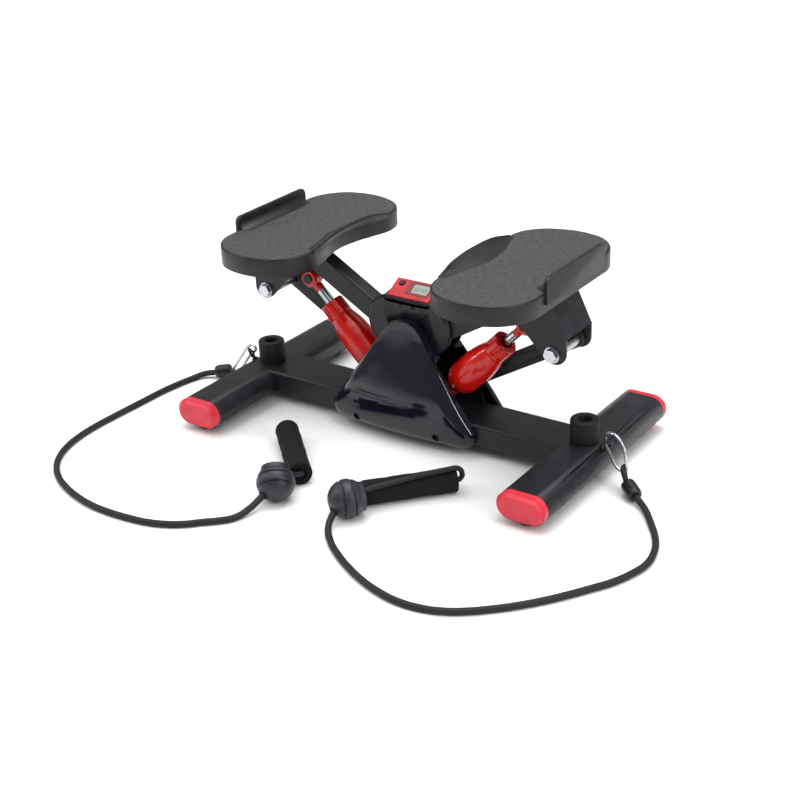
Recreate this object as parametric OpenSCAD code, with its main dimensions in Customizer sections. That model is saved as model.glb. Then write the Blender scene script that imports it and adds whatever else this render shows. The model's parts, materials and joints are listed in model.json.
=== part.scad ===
/* [Frame] */
// Distance from the middle to the centre of each foot bar
bar_x = 240; // [236:1:246]
// Half length of each foot bar tube, without its end caps
bar_half = 146; // [142:1:150]
// Height of a foot pad under the bars
pad_h = 8; // [8:0.5:10]
// Length of the red part of each end cap
cap_len = 12; // [10:1:14]

/* [Uprights] */
// Height of the main pivot above the floor
piv_z = 120; // [120:0.5:121]
// Thickness of each upright plate
tower_t = 3; // [2.5:0.5:3]

/* [Pedals] */
// Height of the treads above the floor
tread_z = 250; // [248:1:252]
// Height of the outer foot stop above the tread
stop_h = 17; // [14:1:20]

/* [Cylinders] */
// Outer radius of the hydraulic barrel
barrel_r = 21.5; // [20:0.5:21.5]
// Radius of the chrome rod
rod_r = 6; // [5:0.5:6]

/* [Cords] */
// Diameter of the training cord
cord_d = 8; // [7:0.5:8]

/* [Hidden] */
$fn = 48;
bz0 = pad_h;
bz1 = pad_h + 35;
bzc = pad_h + 17.5;
beam_z0 = 14;
beam_z1 = bz1 - 0.4;
U = [163, 215];
Q = [48, 65];
V = [211, 160];
E = [160, 176];
arm_a = atan2(U[1] - piv_z, U[0]);
arm_l = sqrt(pow(U[0], 2) + pow(U[1] - piv_z, 2));
link_a = atan2(V[1] - Q[1], V[0] - Q[0]);
link_l = sqrt(pow(V[0] - Q[0], 2) + pow(V[1] - Q[1], 2));
cyl_a = atan2(E[1] - Q[1], E[0] - Q[0]);
cyl_l = sqrt(pow(E[0] - Q[0], 2) + pow(E[1] - Q[1], 2));
ty = 27.5;
slope_a = 27.85;
charcoal = [0.17, 0.17, 0.19];
red = [0.80, 0.06, 0.06];

// Route of the right cord, from its ferrule to its ball, as [x, y]
right_route = [
  [326, -38], [344, -53], [363, -76], [382, -104], [392, -128],
  [396, -154], [391, -180], [381, -205], [367, -228], [352, -251],
  [336, -273], [319, -293], [301, -311], [281, -328], [260, -341],
  [236, -349], [208, -351], [179, -346], [150, -336], [125, -324],
  [100, -309], [76, -291], [58, -271], [51, -250]];
// Route of the left cord, from its ferrule to its ball
left_route = [
  [-330, -15], [-344, -22], [-353, -42], [-358, -68], [-361, -96],
  [-362, -125], [-363, -157], [-364, -189], [-364, -220], [-361, -250],
  [-353, -280], [-340, -305], [-324, -324], [-302, -341], [-276, -354],
  [-246, -364], [-214, -370], [-186, -371], [-157, -369], [-132, -365],
  [-110, -357], [-92, -346], [-78, -333], [-63, -320], [-52, -306],
  [-46, -284], [-43, -263]];

function v3(p, z) = [p[0], p[1], z];
function unit(v) = v / norm(v);
function cr(a, b, c, d, t) = 0.5 * ((2 * b) + (c - a) * t
  + (2 * a - 5 * b + 4 * c - d) * t * t + (3 * b - a - 3 * c + d) * t * t * t);
function closed_curve(p, k) = [for (i = [0 : len(p) - 1]) for (j = [0 : k - 1])
  cr(p[(i + len(p) - 1) % len(p)], p[i], p[(i + 1) % len(p)], p[(i + 2) % len(p)], j / k)];
function tang(p, i, cl) = let (n = len(p))
  cl ? unit(p[(i + 1) % n] - p[(i + n - 1) % n])
     : unit(p[min(i + 1, n - 1)] - p[max(i - 1, 0)]);
function side_v(t, up) = unit(cross(t, up));
function ring(p, i, r, m, up, cl) = let (t = tang(p, i, cl), s = side_v(t, up), w = cross(s, t))
  [for (k = [0 : m - 1]) p[i] + r * (cos(360 * k / m) * s + sin(360 * k / m) * w)];

// Round bar swept along a list of points
module sweep(p, r, m, up = [0, 0, 1], cl = false) {
  n = len(p);
  pts = [for (i = [0 : n - 1]) each ring(p, i, r, m, up, cl)];
  last = cl ? n - 1 : n - 2;
  sides = [for (i = [0 : last]) for (k = [0 : m - 1])
    [i * m + k, i * m + (k + 1) % m, ((i + 1) % n) * m + (k + 1) % m, ((i + 1) % n) * m + k]];
  a = [for (k = [0 : m - 1]) m - 1 - k];
  b = [for (k = [0 : m - 1]) (n - 1) * m + k];
  polyhedron(points = pts, faces = cl ? sides : concat([a], sides, [b]), convexity = 8);
}

module yext(y0, y1) {
  translate([0, y1, 0]) rotate([90, 0, 0]) linear_extrude(height = y1 - y0) children();
}
module ycyl(x, z, r, y0, y1) {
  translate([x, y0, z]) rotate([-90, 0, 0]) cylinder(r = r, h = y1 - y0);
}
module zcyl(x, y, r, z0, z1) {
  translate([x, y, z0]) cylinder(r = r, h = z1 - z0);
}
module on_line(x, z, a) {
  translate([x, 0, z]) rotate([0, -a, 0]) children();
}
module slope() {
  translate([0, -16, 183]) rotate([slope_a, 0, 0]) children();
}
module both() {
  children();
  mirror([1, 0, 0]) children();
}
module fore_aft() {
  children();
  mirror([0, 1, 0]) children();
}
module stadium(w, h) {
  square([w - h, h], center = true);
  for (s = [-1, 1]) translate([s * (w - h) / 2, 0]) circle(d = h, $fn = 64);
}
module round_rect(w, h, r) {
  square([w - 2 * r, h], center = true);
  square([w, h - 2 * r], center = true);
  for (i = [-1, 1]) for (j = [-1, 1]) translate([i * (w / 2 - r), j * (h / 2 - r)]) circle(r);
}
module hexagon(r) {
  circle(r, $fn = 6);
}

// Foot bar, built on the right
module bar_shape() {
  difference() {
    translate([bar_x, 0, bzc]) yext(-bar_half, bar_half) stadium(63, 35);
    translate([bar_x, 0, bzc]) yext(-bar_half - 1, bar_half + 1) stadium(60, 32);
    zcyl(bar_x - 2, 0, 3.05, bz1 - 4, bz1 + 1);
    for (s = [-1, 1]) zcyl(bar_x, s * (bar_half - 12), 2.05, bz0 - 1, bz0 + 4);
    translate([bar_x + 14, -6, bzc]) rotate([0, 36.2, 0]) cylinder(r = 2.55, h = 20);
  }
}
module foot_bar_right() { color(charcoal) bar_shape(); }
module foot_bar_left() { color(charcoal) mirror([1, 0, 0]) bar_shape(); }

module cross_beam() {
  color(charcoal) difference() {
    translate([-224, 0, (beam_z0 + beam_z1) / 2]) rotate([90, 0, 90])
      linear_extrude(height = 448) difference() {
        round_rect(63, beam_z1 - beam_z0, 3);
        round_rect(60, beam_z1 - beam_z0 - 3, 1.5);
      }
    both() translate([bar_x, 0, bzc]) yext(-40, 40) stadium(63, 35);
    both() fore_aft() ycyl(60, 23, 2.05, -33, -28);
  }
}
module cap_one() {
  y1 = bar_half + cap_len;
  translate([bar_x, 0, bzc]) {
    yext(bar_half, y1 - 4) stadium(63, 35);
    for (s = [-1, 1]) translate([s * 14, y1 - 4, 0]) rotate([-90, 0, 0])
      cylinder(r1 = 16.3, r2 = 13.3, h = 4, $fn = 64);
    translate([-14, y1 - 4, 0]) rotate([90, 0, 90])
      linear_extrude(height = 28) polygon([[0, -16.3], [4, -13.3], [4, 13.3], [0, 16.3]]);
    difference() {
      yext(bar_half - 8, bar_half) stadium(59.8, 31.8);
      yext(bar_half - 9, bar_half - 1) stadium(53, 25);
    }
  }
}
module end_caps() { color([0.80, 0.12, 0.16]) both() fore_aft() cap_one(); }
module foot_pads() {
  color([0.05, 0.05, 0.05]) both() fore_aft() translate([bar_x, bar_half - 12, 0]) difference() {
    union() {
      cylinder(r1 = 11, r2 = 12, h = 2);
      translate([0, 0, 2]) cylinder(r = 12, h = pad_h - 2);
    }
    translate([0, 0, -1]) cylinder(r = 5, h = 4);
    translate([0, 0, -1]) cylinder(r = 2.05, h = pad_h + 2);
  }
}
module foot_pad_screws() {
  color([0.5, 0.5, 0.5]) both() fore_aft() translate([bar_x, bar_half - 12, 0]) {
    translate([0, 0, 1]) cylinder(r = 4.5, h = 2);
    translate([0, 0, 3]) cylinder(r = 2, h = pad_h + 2);
  }
}
module rubber_buffers() {
  color([0.06, 0.06, 0.06]) both() translate([bar_x - 2, 0, bz1]) difference() {
    union() {
      cylinder(r = 17.5, h = 27);
      translate([0, 0, 27]) cylinder(r1 = 17.5, r2 = 15.5, h = 2);
    }
    translate([0, 0, 17]) cylinder(r = 6.5, h = 13);
    translate([0, 0, -1]) cylinder(r = 3.05, h = 20);
  }
}
module buffer_screws() {
  color([0.35, 0.35, 0.36]) both() translate([bar_x - 2, 0, bz1]) {
    difference() {
      translate([0, 0, 17]) cylinder(r = 6, h = 4);
      translate([0, 0, 19]) linear_extrude(height = 3) hexagon(2.8);
    }
    translate([0, 0, -8]) cylinder(r = 3, h = 25.01);
  }
}
module eye_bolt() {
  translate([bar_x + 14, -6, bzc]) rotate([0, 36.2, 0]) {
    translate([0, 0, 10]) cylinder(r = 2.5, h = 11);
    translate([0, 0, 17.52]) cylinder(r = 4.5, h = 1.8);
    translate([0, 0, 27]) rotate([0, 0, 55]) rotate([90, 0, 0])
      rotate_extrude($fn = 36) translate([6.25, 0]) circle(2, $fn = 16);
  }
}
module eye_bolts() { color([0.12, 0.12, 0.13]) both() eye_bolt(); }

// Upright plates inside the covers
module tower_plate() {
  difference() {
    yext(-ty - tower_t, -ty) polygon([[-82, beam_z1], [-76, 56], [-62, 78], [-36, 105], [-27, 130],
      [-17, 142], [17, 142], [27, 130], [36, 105], [62, 78], [76, 56], [82, beam_z1]]);
    ycyl(0, piv_z, 6.03, -40, 0);
    for (s = [-1, 1]) ycyl(s * Q[0], Q[1], 5.03, -40, 0);
    for (s = [-1, 1]) ycyl(s * 19, 131, 2.05, -40, 0);
  }
}
module tower_front() { color([0.14, 0.14, 0.15]) tower_plate(); }
module tower_rear() { color([0.14, 0.14, 0.15]) mirror([0, 1, 0]) tower_plate(); }

module shell_form(t) {
  hull() {
    ycyl(0, 127, 31 - t, -30 + t, -10);
    ycyl(0, 127, 25 - t, -31 + t, -10);
    ycyl(0, 96, 24 - t, -44 + t, -31);
    both() ycyl(91, 26, 16 - t, -38 + t, -30);
    both() ycyl(82, 32, 16 - t, -49 + t, -30);
    both() ycyl(52, 34, 20 - t, -57.5 + t, -30);
    ycyl(0, 50, 26 - t, -58 + t, -30);
  }
}
module cover_shape() {
  difference() {
    union() {
      difference() {
        shell_form(0);
        shell_form(2.4);
        translate([-150, -31.5, 0]) cube([300, 60, 112]);
        translate([-150, -18, 100]) cube([300, 60, 80]);
      }
      for (s = [-1, 1]) ycyl(s * 60, 23, 6, -50, -31.5);
    }
    for (s = [-1, 1]) ycyl(s * 60, 23, 5, -62, -47);
    for (s = [-1, 1]) ycyl(s * 60, 23, 2.05, -62, -30);
  }
}
module front_cover() { color([0.03, 0.03, 0.035]) cover_shape(); }
module rear_cover() { color([0.03, 0.03, 0.035]) mirror([0, 1, 0]) cover_shape(); }
module cover_screws() {
  color([0.15, 0.15, 0.15]) both() fore_aft() {
    difference() {
      ycyl(60, 23, 4.5, -49, -47);
      translate([60, 0, 23]) for (a = [0, 90]) rotate([0, a, 0])
        translate([-3, -50, -0.6]) cube([6, 2, 1.2]);
    }
    ycyl(60, 23, 2, -47, -26);
  }
}

// Hub side covers
module hub_cheek(front) {
  difference() {
    union() {
      difference() {
        translate([0, 0, 147.25]) yext(-18, -12) stadium(122, 72.5);
        if (front) translate([-31.2, -19, 179.5]) cube([62.4, 8, 10]);
      }
      for (s = [-1, 1]) ycyl(s * 19, 131, 4.5, -ty, -17);
    }
    ycyl(0, piv_z, 17.5, -30, 0);
    for (s = [-1, 1]) ycyl(s * 19, 131, 2.05, -30, 0);
    for (s = [-1, 1]) ycyl(s * 9, 173, 1.53, -30, 0);
    for (s = [-1, 1]) ycyl(s * 9, 173, 3.2, -19, -16.5);
  }
}
module hub_cover_front() { color([0.13, 0.13, 0.14]) hub_cheek(true); }
module hub_cover_rear() { color([0.13, 0.13, 0.14]) mirror([0, 1, 0]) hub_cheek(false); }
module hub_screws() {
  color([0.3, 0.3, 0.31]) both() fore_aft() {
    ycyl(19, 131, 4, -ty - tower_t - 1.5, -ty - tower_t);
    ycyl(19, 131, 2, -ty - tower_t, -14);
    ycyl(9, 173, 2.9, -18, -16.5);
    ycyl(9, 173, 1.5, -16.5, -10.2);
  }
}
module console_housing() {
  color([0.10, 0.10, 0.11]) difference() {
    union() {
      translate([-31, 0, 0]) rotate([90, 0, 90]) linear_extrude(height = 62)
        polygon([[-16, 179.5], [-16, 181.19], [10.5, 195.19], [10.5, 181.5], [-11.7, 181.5], [-11.7, 179.5]]);
      translate([-17, -12, 166]) cube([34, 24, 15.6]);
    }
    translate([-14.5, -9.8, 169]) cube([29, 17.8, 13]);
    slope() translate([-24, 8, -8]) cube([50, 18, 6.5]);
    for (s = [-1, 1]) fore_aft() ycyl(s * 9, 173, 1.53, -13, -9);
  }
}
module console_panel() {
  color([0.70, 0.10, 0.13]) slope() difference() {
    translate([-30.5, 0.6, -1.6]) cube([61, 29, 1.6]);
    translate([-2, 10, -2]) cube([24, 15, 3]);
    translate([-20, 22, -2]) cylinder(r = 4.4, h = 3);
  }
}
module lcd_window() {
  color([0.52, 0.56, 0.50]) slope() translate([-1.95, 10.05, -1.55]) cube([23.9, 14.9, 1.1]);
}
module display_board() {
  color([0.10, 0.35, 0.18]) slope() translate([-23.5, 9, -4.1]) cube([49, 16, 1.4]);
}
module battery() {
  color([0.75, 0.75, 0.76]) translate([-6, 0, 174.8]) rotate([0, 90, 0]) cylinder(r = 5.8, h = 12);
}
module mode_button() {
  color([0.12, 0.12, 0.13]) slope() translate([-20, 22, -1.4]) {
    cylinder(r = 4, h = 2.4);
    translate([0, 0, 2.4]) cylinder(r1 = 4, r2 = 3, h = 0.8);
  }
}

// Rocker with both upper arms
module arm_shape() {
  on_line(0, piv_z, arm_a) {
    difference() {
      translate([12, 0, 0]) rotate([90, 0, 90]) linear_extrude(height = arm_l - 32) round_rect(22, 28, 2.5);
      translate([20, 0, 0]) rotate([90, 0, 90]) linear_extrude(height = arm_l - 60) round_rect(19, 25, 1);
      translate([60, 0, -15]) cylinder(r = 3, h = 4);
    }
    translate([arm_l - 24, -8, -9]) cube([24, 16, 18]);
  }
  ycyl(U[0], U[1], 10, -27.4, 27.4);
  yext(6.6, 11) polygon([[150, 176], [150, 196], [160, 202], [172, 204], [170, 176]]);
  ycyl(E[0], E[1], 10, 6.6, 11);
}
module rocker_arms() {
  color(charcoal) difference() {
    union() {
      ycyl(0, piv_z, 16, -24.4, 24.4);
      both() arm_shape();
    }
    ycyl(0, piv_z, 10.03, -30, 30);
    for (s = [-1, 1]) ycyl(s * U[0], U[1], 5.05, -30, 30);
    for (s = [-1, 1]) ycyl(s * E[0], E[1], 4.03, 0, 30);
  }
}
module rocker_bushes() {
  color([0.85, 0.83, 0.76]) fore_aft() difference() {
    union() {
      ycyl(0, piv_z, 10, -24.4, -8);
      ycyl(0, piv_z, 14, -27, -24.4);
    }
    ycyl(0, piv_z, 6.05, -30, 0);
  }
}
module rod_bolts() {
  color([0.70, 0.71, 0.73]) both() {
    ycyl(E[0], E[1], 4, -6.4, 11);
    ycyl(E[0], E[1], 10.5, -8, -6.4);
    ycyl(E[0], E[1], 6, -10.4, -8);
    translate([E[0], 0, E[1]]) yext(11, 16) hexagon(7);
  }
}
module rocker_axle() {
  color([0.66, 0.67, 0.69]) {
    ycyl(0, piv_z, 6, -ty - tower_t, ty + tower_t + 3.4);
    ycyl(0, piv_z, 10, -ty - tower_t - 2.8, -ty - tower_t);
  }
}
module link_axles() {
  color([0.66, 0.67, 0.69]) both() {
    ycyl(Q[0], Q[1], 5, -ty - tower_t, ty + tower_t + 8);
    translate([Q[0], 0, Q[1]]) yext(-ty - tower_t - 5, -ty - tower_t) hexagon(9);
  }
}
module axle_nuts() {
  color([0.70, 0.71, 0.73]) {
    difference() {
      translate([0, 0, piv_z]) yext(ty + tower_t, ty + tower_t + 3.2) hexagon(10);
      ycyl(0, piv_z, 6.03, 20, 50);
    }
    both() difference() {
      translate([Q[0], 0, Q[1]]) yext(ty + tower_t, ty + tower_t + 7) hexagon(9);
      ycyl(Q[0], Q[1], 5.03, 20, 50);
    }
  }
}
module link_spacers() {
  color([0.45, 0.46, 0.48]) both() difference() {
    union() {
      ycyl(Q[0], Q[1], 8, -ty, -8.5);
      ycyl(Q[0], Q[1], 8, 8.5, 21.8);
    }
    ycyl(Q[0], Q[1], 5.03, -30, 30);
  }
}

// Lower link, built on the right
module link_shape() {
  on_line(Q[0], Q[1], link_a) translate([link_l / 2, 0, 0]) difference() {
    yext(22.2, 27) stadium(link_l + 23, 23);
    ycyl(-link_l / 2, 0, 5.05, 20, 30);
    ycyl(link_l / 2, 0, 5.4, 20, 30);
  }
}
module right_link() { color(charcoal) link_shape(); }
module left_link() { color(charcoal) mirror([1, 0, 0]) link_shape(); }

// Pedal carrier, built on the right
module carrier_shape() {
  difference() {
    union() {
      fore_aft() yext(-31.5, -28) polygon([[229, 163], [229, 181], [209, 222], [209, tread_z - 24],
        [155, tread_z - 24], [152, 215], [156, 206], [165, 201], [166, 190], [186, 169], [203, 152],
        [214, 163]]);
      fore_aft() ycyl(214, 163, 15, -31.5, -28);
      yext(-31.5, 31.5) polygon([[209, 222], [229, 181], [225.9, 179.5], [205.9, 220.5]]);
      translate([176, -31.5, tread_z - 27.5]) cube([33, 63, 3.5]);
    }
    ycyl(U[0], U[1], 5.03, -40, 40);
    ycyl(V[0], V[1], 5.03, -40, 40);
    fore_aft() for (x = [184, 200]) zcyl(x, 20, 2.55, tread_z - 30, tread_z - 20);
  }
}
module right_carrier() { color(charcoal) carrier_shape(); }
module left_carrier() { color(charcoal) mirror([1, 0, 0]) carrier_shape(); }
module carrier_bolt(x, z) {
  ycyl(x, z, 5, -31.5, 31.5 + 8);
  ycyl(x, z, 10, -33, -31.5);
  translate([x, 0, z]) yext(-38, -33) hexagon(8.5);
}
module carrier_nut(x, z) {
  difference() {
    union() {
      translate([x, 0, z]) yext(33, 39) hexagon(8.5);
      ycyl(x, z, 10, 31.5, 33);
    }
    ycyl(x, z, 5.03, 30, 50);
  }
}
module bolts_shape() {
  carrier_bolt(V[0], V[1]);
  carrier_bolt(U[0], U[1]);
}
module right_carrier_bolts() { color([0.75, 0.76, 0.78]) bolts_shape(); }
module left_carrier_bolts() { color([0.75, 0.76, 0.78]) mirror([1, 0, 0]) bolts_shape(); }
module nuts_shape() {
  carrier_nut(V[0], V[1]);
  carrier_nut(U[0], U[1]);
}
module right_carrier_nuts() { color([0.75, 0.76, 0.78]) nuts_shape(); }
module left_carrier_nuts() { color([0.75, 0.76, 0.78]) mirror([1, 0, 0]) nuts_shape(); }
module spacer_shape() {
  difference() {
    ycyl(V[0], V[1], 8, -28, 21.8);
    ycyl(V[0], V[1], 5.03, -30, 30);
  }
}
module right_link_spacer() { color([0.45, 0.46, 0.48]) spacer_shape(); }
module left_link_spacer() { color([0.45, 0.46, 0.48]) mirror([1, 0, 0]) spacer_shape(); }

pedal_pts = [[221, -60], [220, -90], [210, -112], [188, -130], [152, -137], [118, -129], [98, -110],
  [90, -84], [95, -56], [104, -28], [107, 0], [103, 28], [95, 54], [89, 78], [95, 104],
  [116, 124], [152, 134], [188, 128], [210, 110], [220, 88], [221, 60], [221, 0]];
lip_rows = [[-80, 92, 90, 1], [-70, 94, 90, 4], [-55, 97, 89, 8], [-38, 102, 89, 10.5], [-20, 107, 89, 12],
  [0, 108, 89, 12], [20, 106, 89, 11.5], [38, 102, 89, 10], [54, 97, 89, 7], [68, 93, 89, 3.5],
  [78, 91, 88.5, 1]];

module pedal_outline() { polygon(closed_curve(pedal_pts, 4)); }
module pedal_lip() {
  n = len(lip_rows);
  pts = [for (q = lip_rows) each [[q[1] + 7, q[0], tread_z - 2], [q[1] + 7, q[0], tread_z + 0.1],
    [q[2] + 1.5, q[0], tread_z + q[3]], [q[2] - 1, q[0], tread_z + q[3] - 1.6],
    [q[2] - 1, q[0], tread_z + q[3] - 4.5], [q[1] - 1, q[0], tread_z - 8]]];
  sides = [for (i = [0 : n - 2]) for (k = [0 : 5])
    [i * 6 + k, i * 6 + (k + 1) % 6, (i + 1) * 6 + (k + 1) % 6, (i + 1) * 6 + k]];
  polyhedron(points = pts, faces = concat([[5, 4, 3, 2, 1, 0]], sides,
    [[for (k = [0 : 5]) (n - 1) * 6 + k]]), convexity = 6);
}
module pedal_shape() {
  difference() {
    union() {
      translate([0, 0, tread_z - 24]) linear_extrude(height = 24) pedal_outline();
      pedal_lip();
    }
    difference() {
      translate([0, 0, tread_z - 25]) linear_extrude(height = 22) offset(delta = -3) pedal_outline();
      fore_aft() for (x = [184, 200]) zcyl(x, 20, 6, tread_z - 24, tread_z);
      for (y = [-90, -50, 50, 90]) translate([80, y - 1.25, tread_z - 16]) cube([150, 2.5, 20]);
      translate([148, -140, tread_z - 12]) cube([2.5, 280, 20]);
    }
    fore_aft() for (x = [184, 200]) zcyl(x, 20, 2.03, tread_z - 25, tread_z - 10);
  }
  translate([219, 0, tread_z - 16]) rotate([90, 0, 90]) linear_extrude(height = 5) {
    translate([-66, 0]) square([138, 16 + stop_h - 8]);
    translate([-58, 0]) square([122, 16 + stop_h]);
    translate([-58, 8 + stop_h]) circle(8);
    translate([64, 8 + stop_h]) circle(8);
  }
  yext(-62, 68) polygon([[219.5, tread_z - 1], [219.5, tread_z + stop_h - 5], [216, tread_z + 5],
    [211, tread_z + 1.2], [204, tread_z - 1]]);
}
module right_pedal() { color([0.27, 0.27, 0.28]) pedal_shape(); }
module left_pedal() { color([0.27, 0.27, 0.28]) mirror([1, 0, 0]) pedal_shape(); }
module pedal_screw_set() {
  fore_aft() for (x = [184, 200]) {
    zcyl(x, 20, 4.5, tread_z - 30, tread_z - 27.5);
    zcyl(x, 20, 2, tread_z - 27.5, tread_z - 11);
  }
}
module right_pedal_screws() { color([0.6, 0.6, 0.62]) pedal_screw_set(); }
module left_pedal_screws() { color([0.6, 0.6, 0.62]) mirror([1, 0, 0]) pedal_screw_set(); }

// Hydraulic cylinder, built on the right along its own axis
module barrel_shape() {
  difference() {
    union() {
      ycyl(Q[0], Q[1], 10, -8, 8);
      on_line(Q[0], Q[1], cyl_a) rotate([0, 90, 0]) {
        translate([0, 0, 4]) cylinder(r = 7.9, h = 14);
        rotate_extrude($fn = 64) polygon([[0, 16], [11, 16], [15.5, 18.5], [19, 23], [20.8, 28],
          [barrel_r, 34], [barrel_r, 62], [barrel_r - 0.8, 72], [18.8, 82], [16.4, 91], [15.6, 94],
          [11.5, 94], [11.5, 113], [0, 113]]);
      }
    }
    ycyl(Q[0], Q[1], 5.05, -10, 10);
    on_line(Q[0], Q[1], cyl_a) rotate([0, 90, 0]) {
      translate([0, 0, 22]) cylinder(r = 13, h = 68);
      cylinder_bore();
    }
  }
}
module cylinder_bore() {
  translate([0, 0, 80]) cylinder(r = rod_r + 0.05, h = 40);
}
module right_cylinder() { color(red) barrel_shape(); }
module left_cylinder() { color(red) mirror([1, 0, 0]) barrel_shape(); }
module dial_shape() {
  on_line(Q[0], Q[1], cyl_a) rotate([0, 90, 0]) difference() {
    rotate_extrude($fn = 64) polygon([[9.2, 113.4], [11.56, 113.4], [11.56, 94.4], [15.2, 94.4],
      [16, 95.5], [16, 115], [14.6, 116.5], [9.2, 116.5]]);
    for (i = [0 : 7]) rotate([0, 0, i * 45]) translate([17.4, 0, 99])
      cylinder(r = 3.2, h = 20, $fn = 24);
  }
}
module right_dial() { color(red) dial_shape(); }
module left_dial() { color(red) mirror([1, 0, 0]) dial_shape(); }
module rod_shape() {
  difference() {
    union() {
      on_line(Q[0], Q[1], cyl_a) rotate([0, 90, 0]) {
        translate([0, 0, 52]) cylinder(r = 12.95, h = 6);
        translate([0, 0, 49]) cylinder(r = rod_r, h = 95);
        translate([0, 0, 143]) cylinder(r = 5.4, h = 7);
      }
      ycyl(E[0], E[1], 12.5, -6, 6);
    }
    ycyl(E[0], E[1], 8.6, -10, 10);
  }
}
module right_rod() { color([0.80, 0.81, 0.83]) rod_shape(); }
module left_rod() { color([0.80, 0.81, 0.83]) mirror([1, 0, 0]) rod_shape(); }

// Carabiner, cord loop, ferrule, ball, grip and handle loop
right_clip = [[268, -5.5, 54], [270.5, -6.3, 46], [276, -8, 37.5], [282, -10, 29.5], [289, -12.2, 24],
  [296, -14.5, 23.5], [301.5, -16.4, 29], [301, -16.3, 38.5], [298.5, -15.3, 49.5], [294, -13.8, 58],
  [286, -11.2, 64.5], [277, -8.2, 65.5], [270, -6, 61]];
left_clip = [[-263.5, -4, 54], [-270, -6, 46.5], [-277, -8.5, 37], [-283, -10.5, 27], [-289, -12, 17.5],
  [-295, -12.4, 11.5], [-301, -11, 10.5], [-303, -8.5, 16], [-298, -5.5, 26], [-291, -4, 36.5],
  [-284, -3, 47], [-276, -2.6, 55], [-268.5, -3, 58]];
right_eye = [[307, -25, 12.5], [304, -23.5, 20], [299, -19.5, 28], [297, -13, 29.5], [296.5, -9.5, 24],
  [297, -10.5, 18.5], [301, -16, 14.5], [305, -22.5, 10]];
left_eye = [[-313, -6.6, 13.9], [-307, -10, 14], [-300.3, -13.6, 14], [-298, -10.7, 14], [-298.5, -7.9, 12.2],
  [-299.6, -7, 9], [-301.7, -8.4, 7], [-307, -6.5, 8.5], [-313, -6.2, 9.9]];
module carabiners() {
  color([0.78, 0.79, 0.81]) {
    sweep(closed_curve(right_clip, 3), 1.9, 10, [0.33, 0.94, 0], true);
    sweep(closed_curve(left_clip, 3), 1.9, 10, [-0.33, 0.94, 0], true);
  }
}
module cord_eyes() {
  color([0.06, 0.06, 0.065]) {
    sweep(closed_curve(right_eye, 3), 2, 8, [0.94, -0.33, 0], true);
    sweep(closed_curve(left_eye, 3), 2, 8, [-0.8, 0.39, 0.45], true);
  }
}
module ferrule_shape(a, b) {
  d = b - a;
  translate(a) rotate([0, acos(d[2] / norm(d)), atan2(d[1], d[0])]) rotate_extrude($fn = 40)
    polygon([[0, 0], [6.5, 0], [8.6, 2], [9, 5], [9, norm(d) - 5], [7.6, norm(d) - 1], [6, norm(d)],
      [0, norm(d)]]);
}
module ferrules() {
  color([0.05, 0.05, 0.055]) {
    ferrule_shape([306, -22, 13.5], [325, -37.5, 9.2]);
    ferrule_shape([-310.5, -5, 12.3], [-331, -15, 9.2]);
  }
}
// Height of a cord's middle: lifted into the ferrule at one end and the ball at the other
function cord_z(i, last) = i == 0 ? 8.4 : i == 1 ? 6 : i == last ? 15 : i == last - 1 ? 7.5
  : cord_d / 2 + 0.05;
function cord_path(route) = let (last = len(route) - 1)
  [for (i = [0 : last]) v3(route[i], cord_z(i, last))];
module right_cord() {
  color([0.05, 0.05, 0.055]) sweep(cord_path(right_route), cord_d / 2, 10);
}
module left_cord() {
  color([0.05, 0.05, 0.055]) sweep(cord_path(left_route), cord_d / 2, 10);
}
module ball(x, y, a) {
  translate([x, y, 23]) rotate([0, 0, a]) rotate([0, 90, 0]) rotate_extrude($fn = 48)
    polygon([[0, -22.6], [8, -21.5], [13.5, -18.4], [17.5, -14.6], [20, -11], [21.6, -7.6], [20.4, -6.6],
      [20.6, -5], [22.3, -4.4], [23, 0], [22.3, 4.4], [20.6, 5], [20.4, 6.6], [21.6, 7.6], [20, 11],
      [17.5, 14.6], [13.5, 18.4], [8, 21.5], [0, 22.6]]);
}
module handle_balls() {
  color([0.20, 0.22, 0.26]) {
    ball(55, -230, 49);
    ball(-40, -242, 136);
  }
}
module grip(x0, y0, x1, y1) {
  a = atan2(y1 - y0, x1 - x0);
  l = sqrt(pow(x1 - x0, 2) + pow(y1 - y0, 2));
  translate([x0, y0, 15.2]) rotate([0, 0, a]) rotate([0, 90, 0]) rotate_extrude($fn = 48)
    polygon([[9, 0], [14, 0], [15, 1.5], [15, l - 1.5], [14, l], [9, l]]);
}
module foam_grips() {
  color([0.045, 0.045, 0.05]) {
    grip(55, -199, 130, -116);
    grip(-37, -200, -124, -116);
  }
}
right_strap = [[58, -216, 24], [62, -203, 22], [67, -192, 15.2], [82, -175, 15.2], [98, -157, 15.2],
  [114, -140, 15.2], [129, -123, 15.2], [136, -113, 17.5], [139, -110.5, 25], [134, -117, 32],
  [123, -137, 34.5], [107, -155, 34.5], [92, -172, 34.5], [77, -189, 34.5], [66, -204, 33], [60, -217, 28]];
left_strap = [[-40, -228, 26], [-36.5, -212, 20], [-37, -195, 15.2], [-56, -176.5, 15.2], [-75, -158.5, 15.2],
  [-94, -140, 15.2], [-113, -121.5, 15.2], [-122, -113, 15.2], [-127.5, -108.5, 15.4], [-132, -110, 15.6],
  [-131.5, -114.5, 15.4], [-127, -118, 15.2], [-118, -126.5, 15.2], [-99, -145, 15.2], [-80, -163.5, 15.2],
  [-61, -182, 15.2], [-42, -200, 15.2], [-44, -213, 20], [-44, -227, 26]];
module handle_loops() {
  color([0.07, 0.07, 0.075]) {
    sweep(right_strap, 3.2, 8, [-0.74, 0.67, 0]);
    sweep(left_strap, 3.2, 8, [0.72, 0.70, 0]);
  }
}

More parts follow.
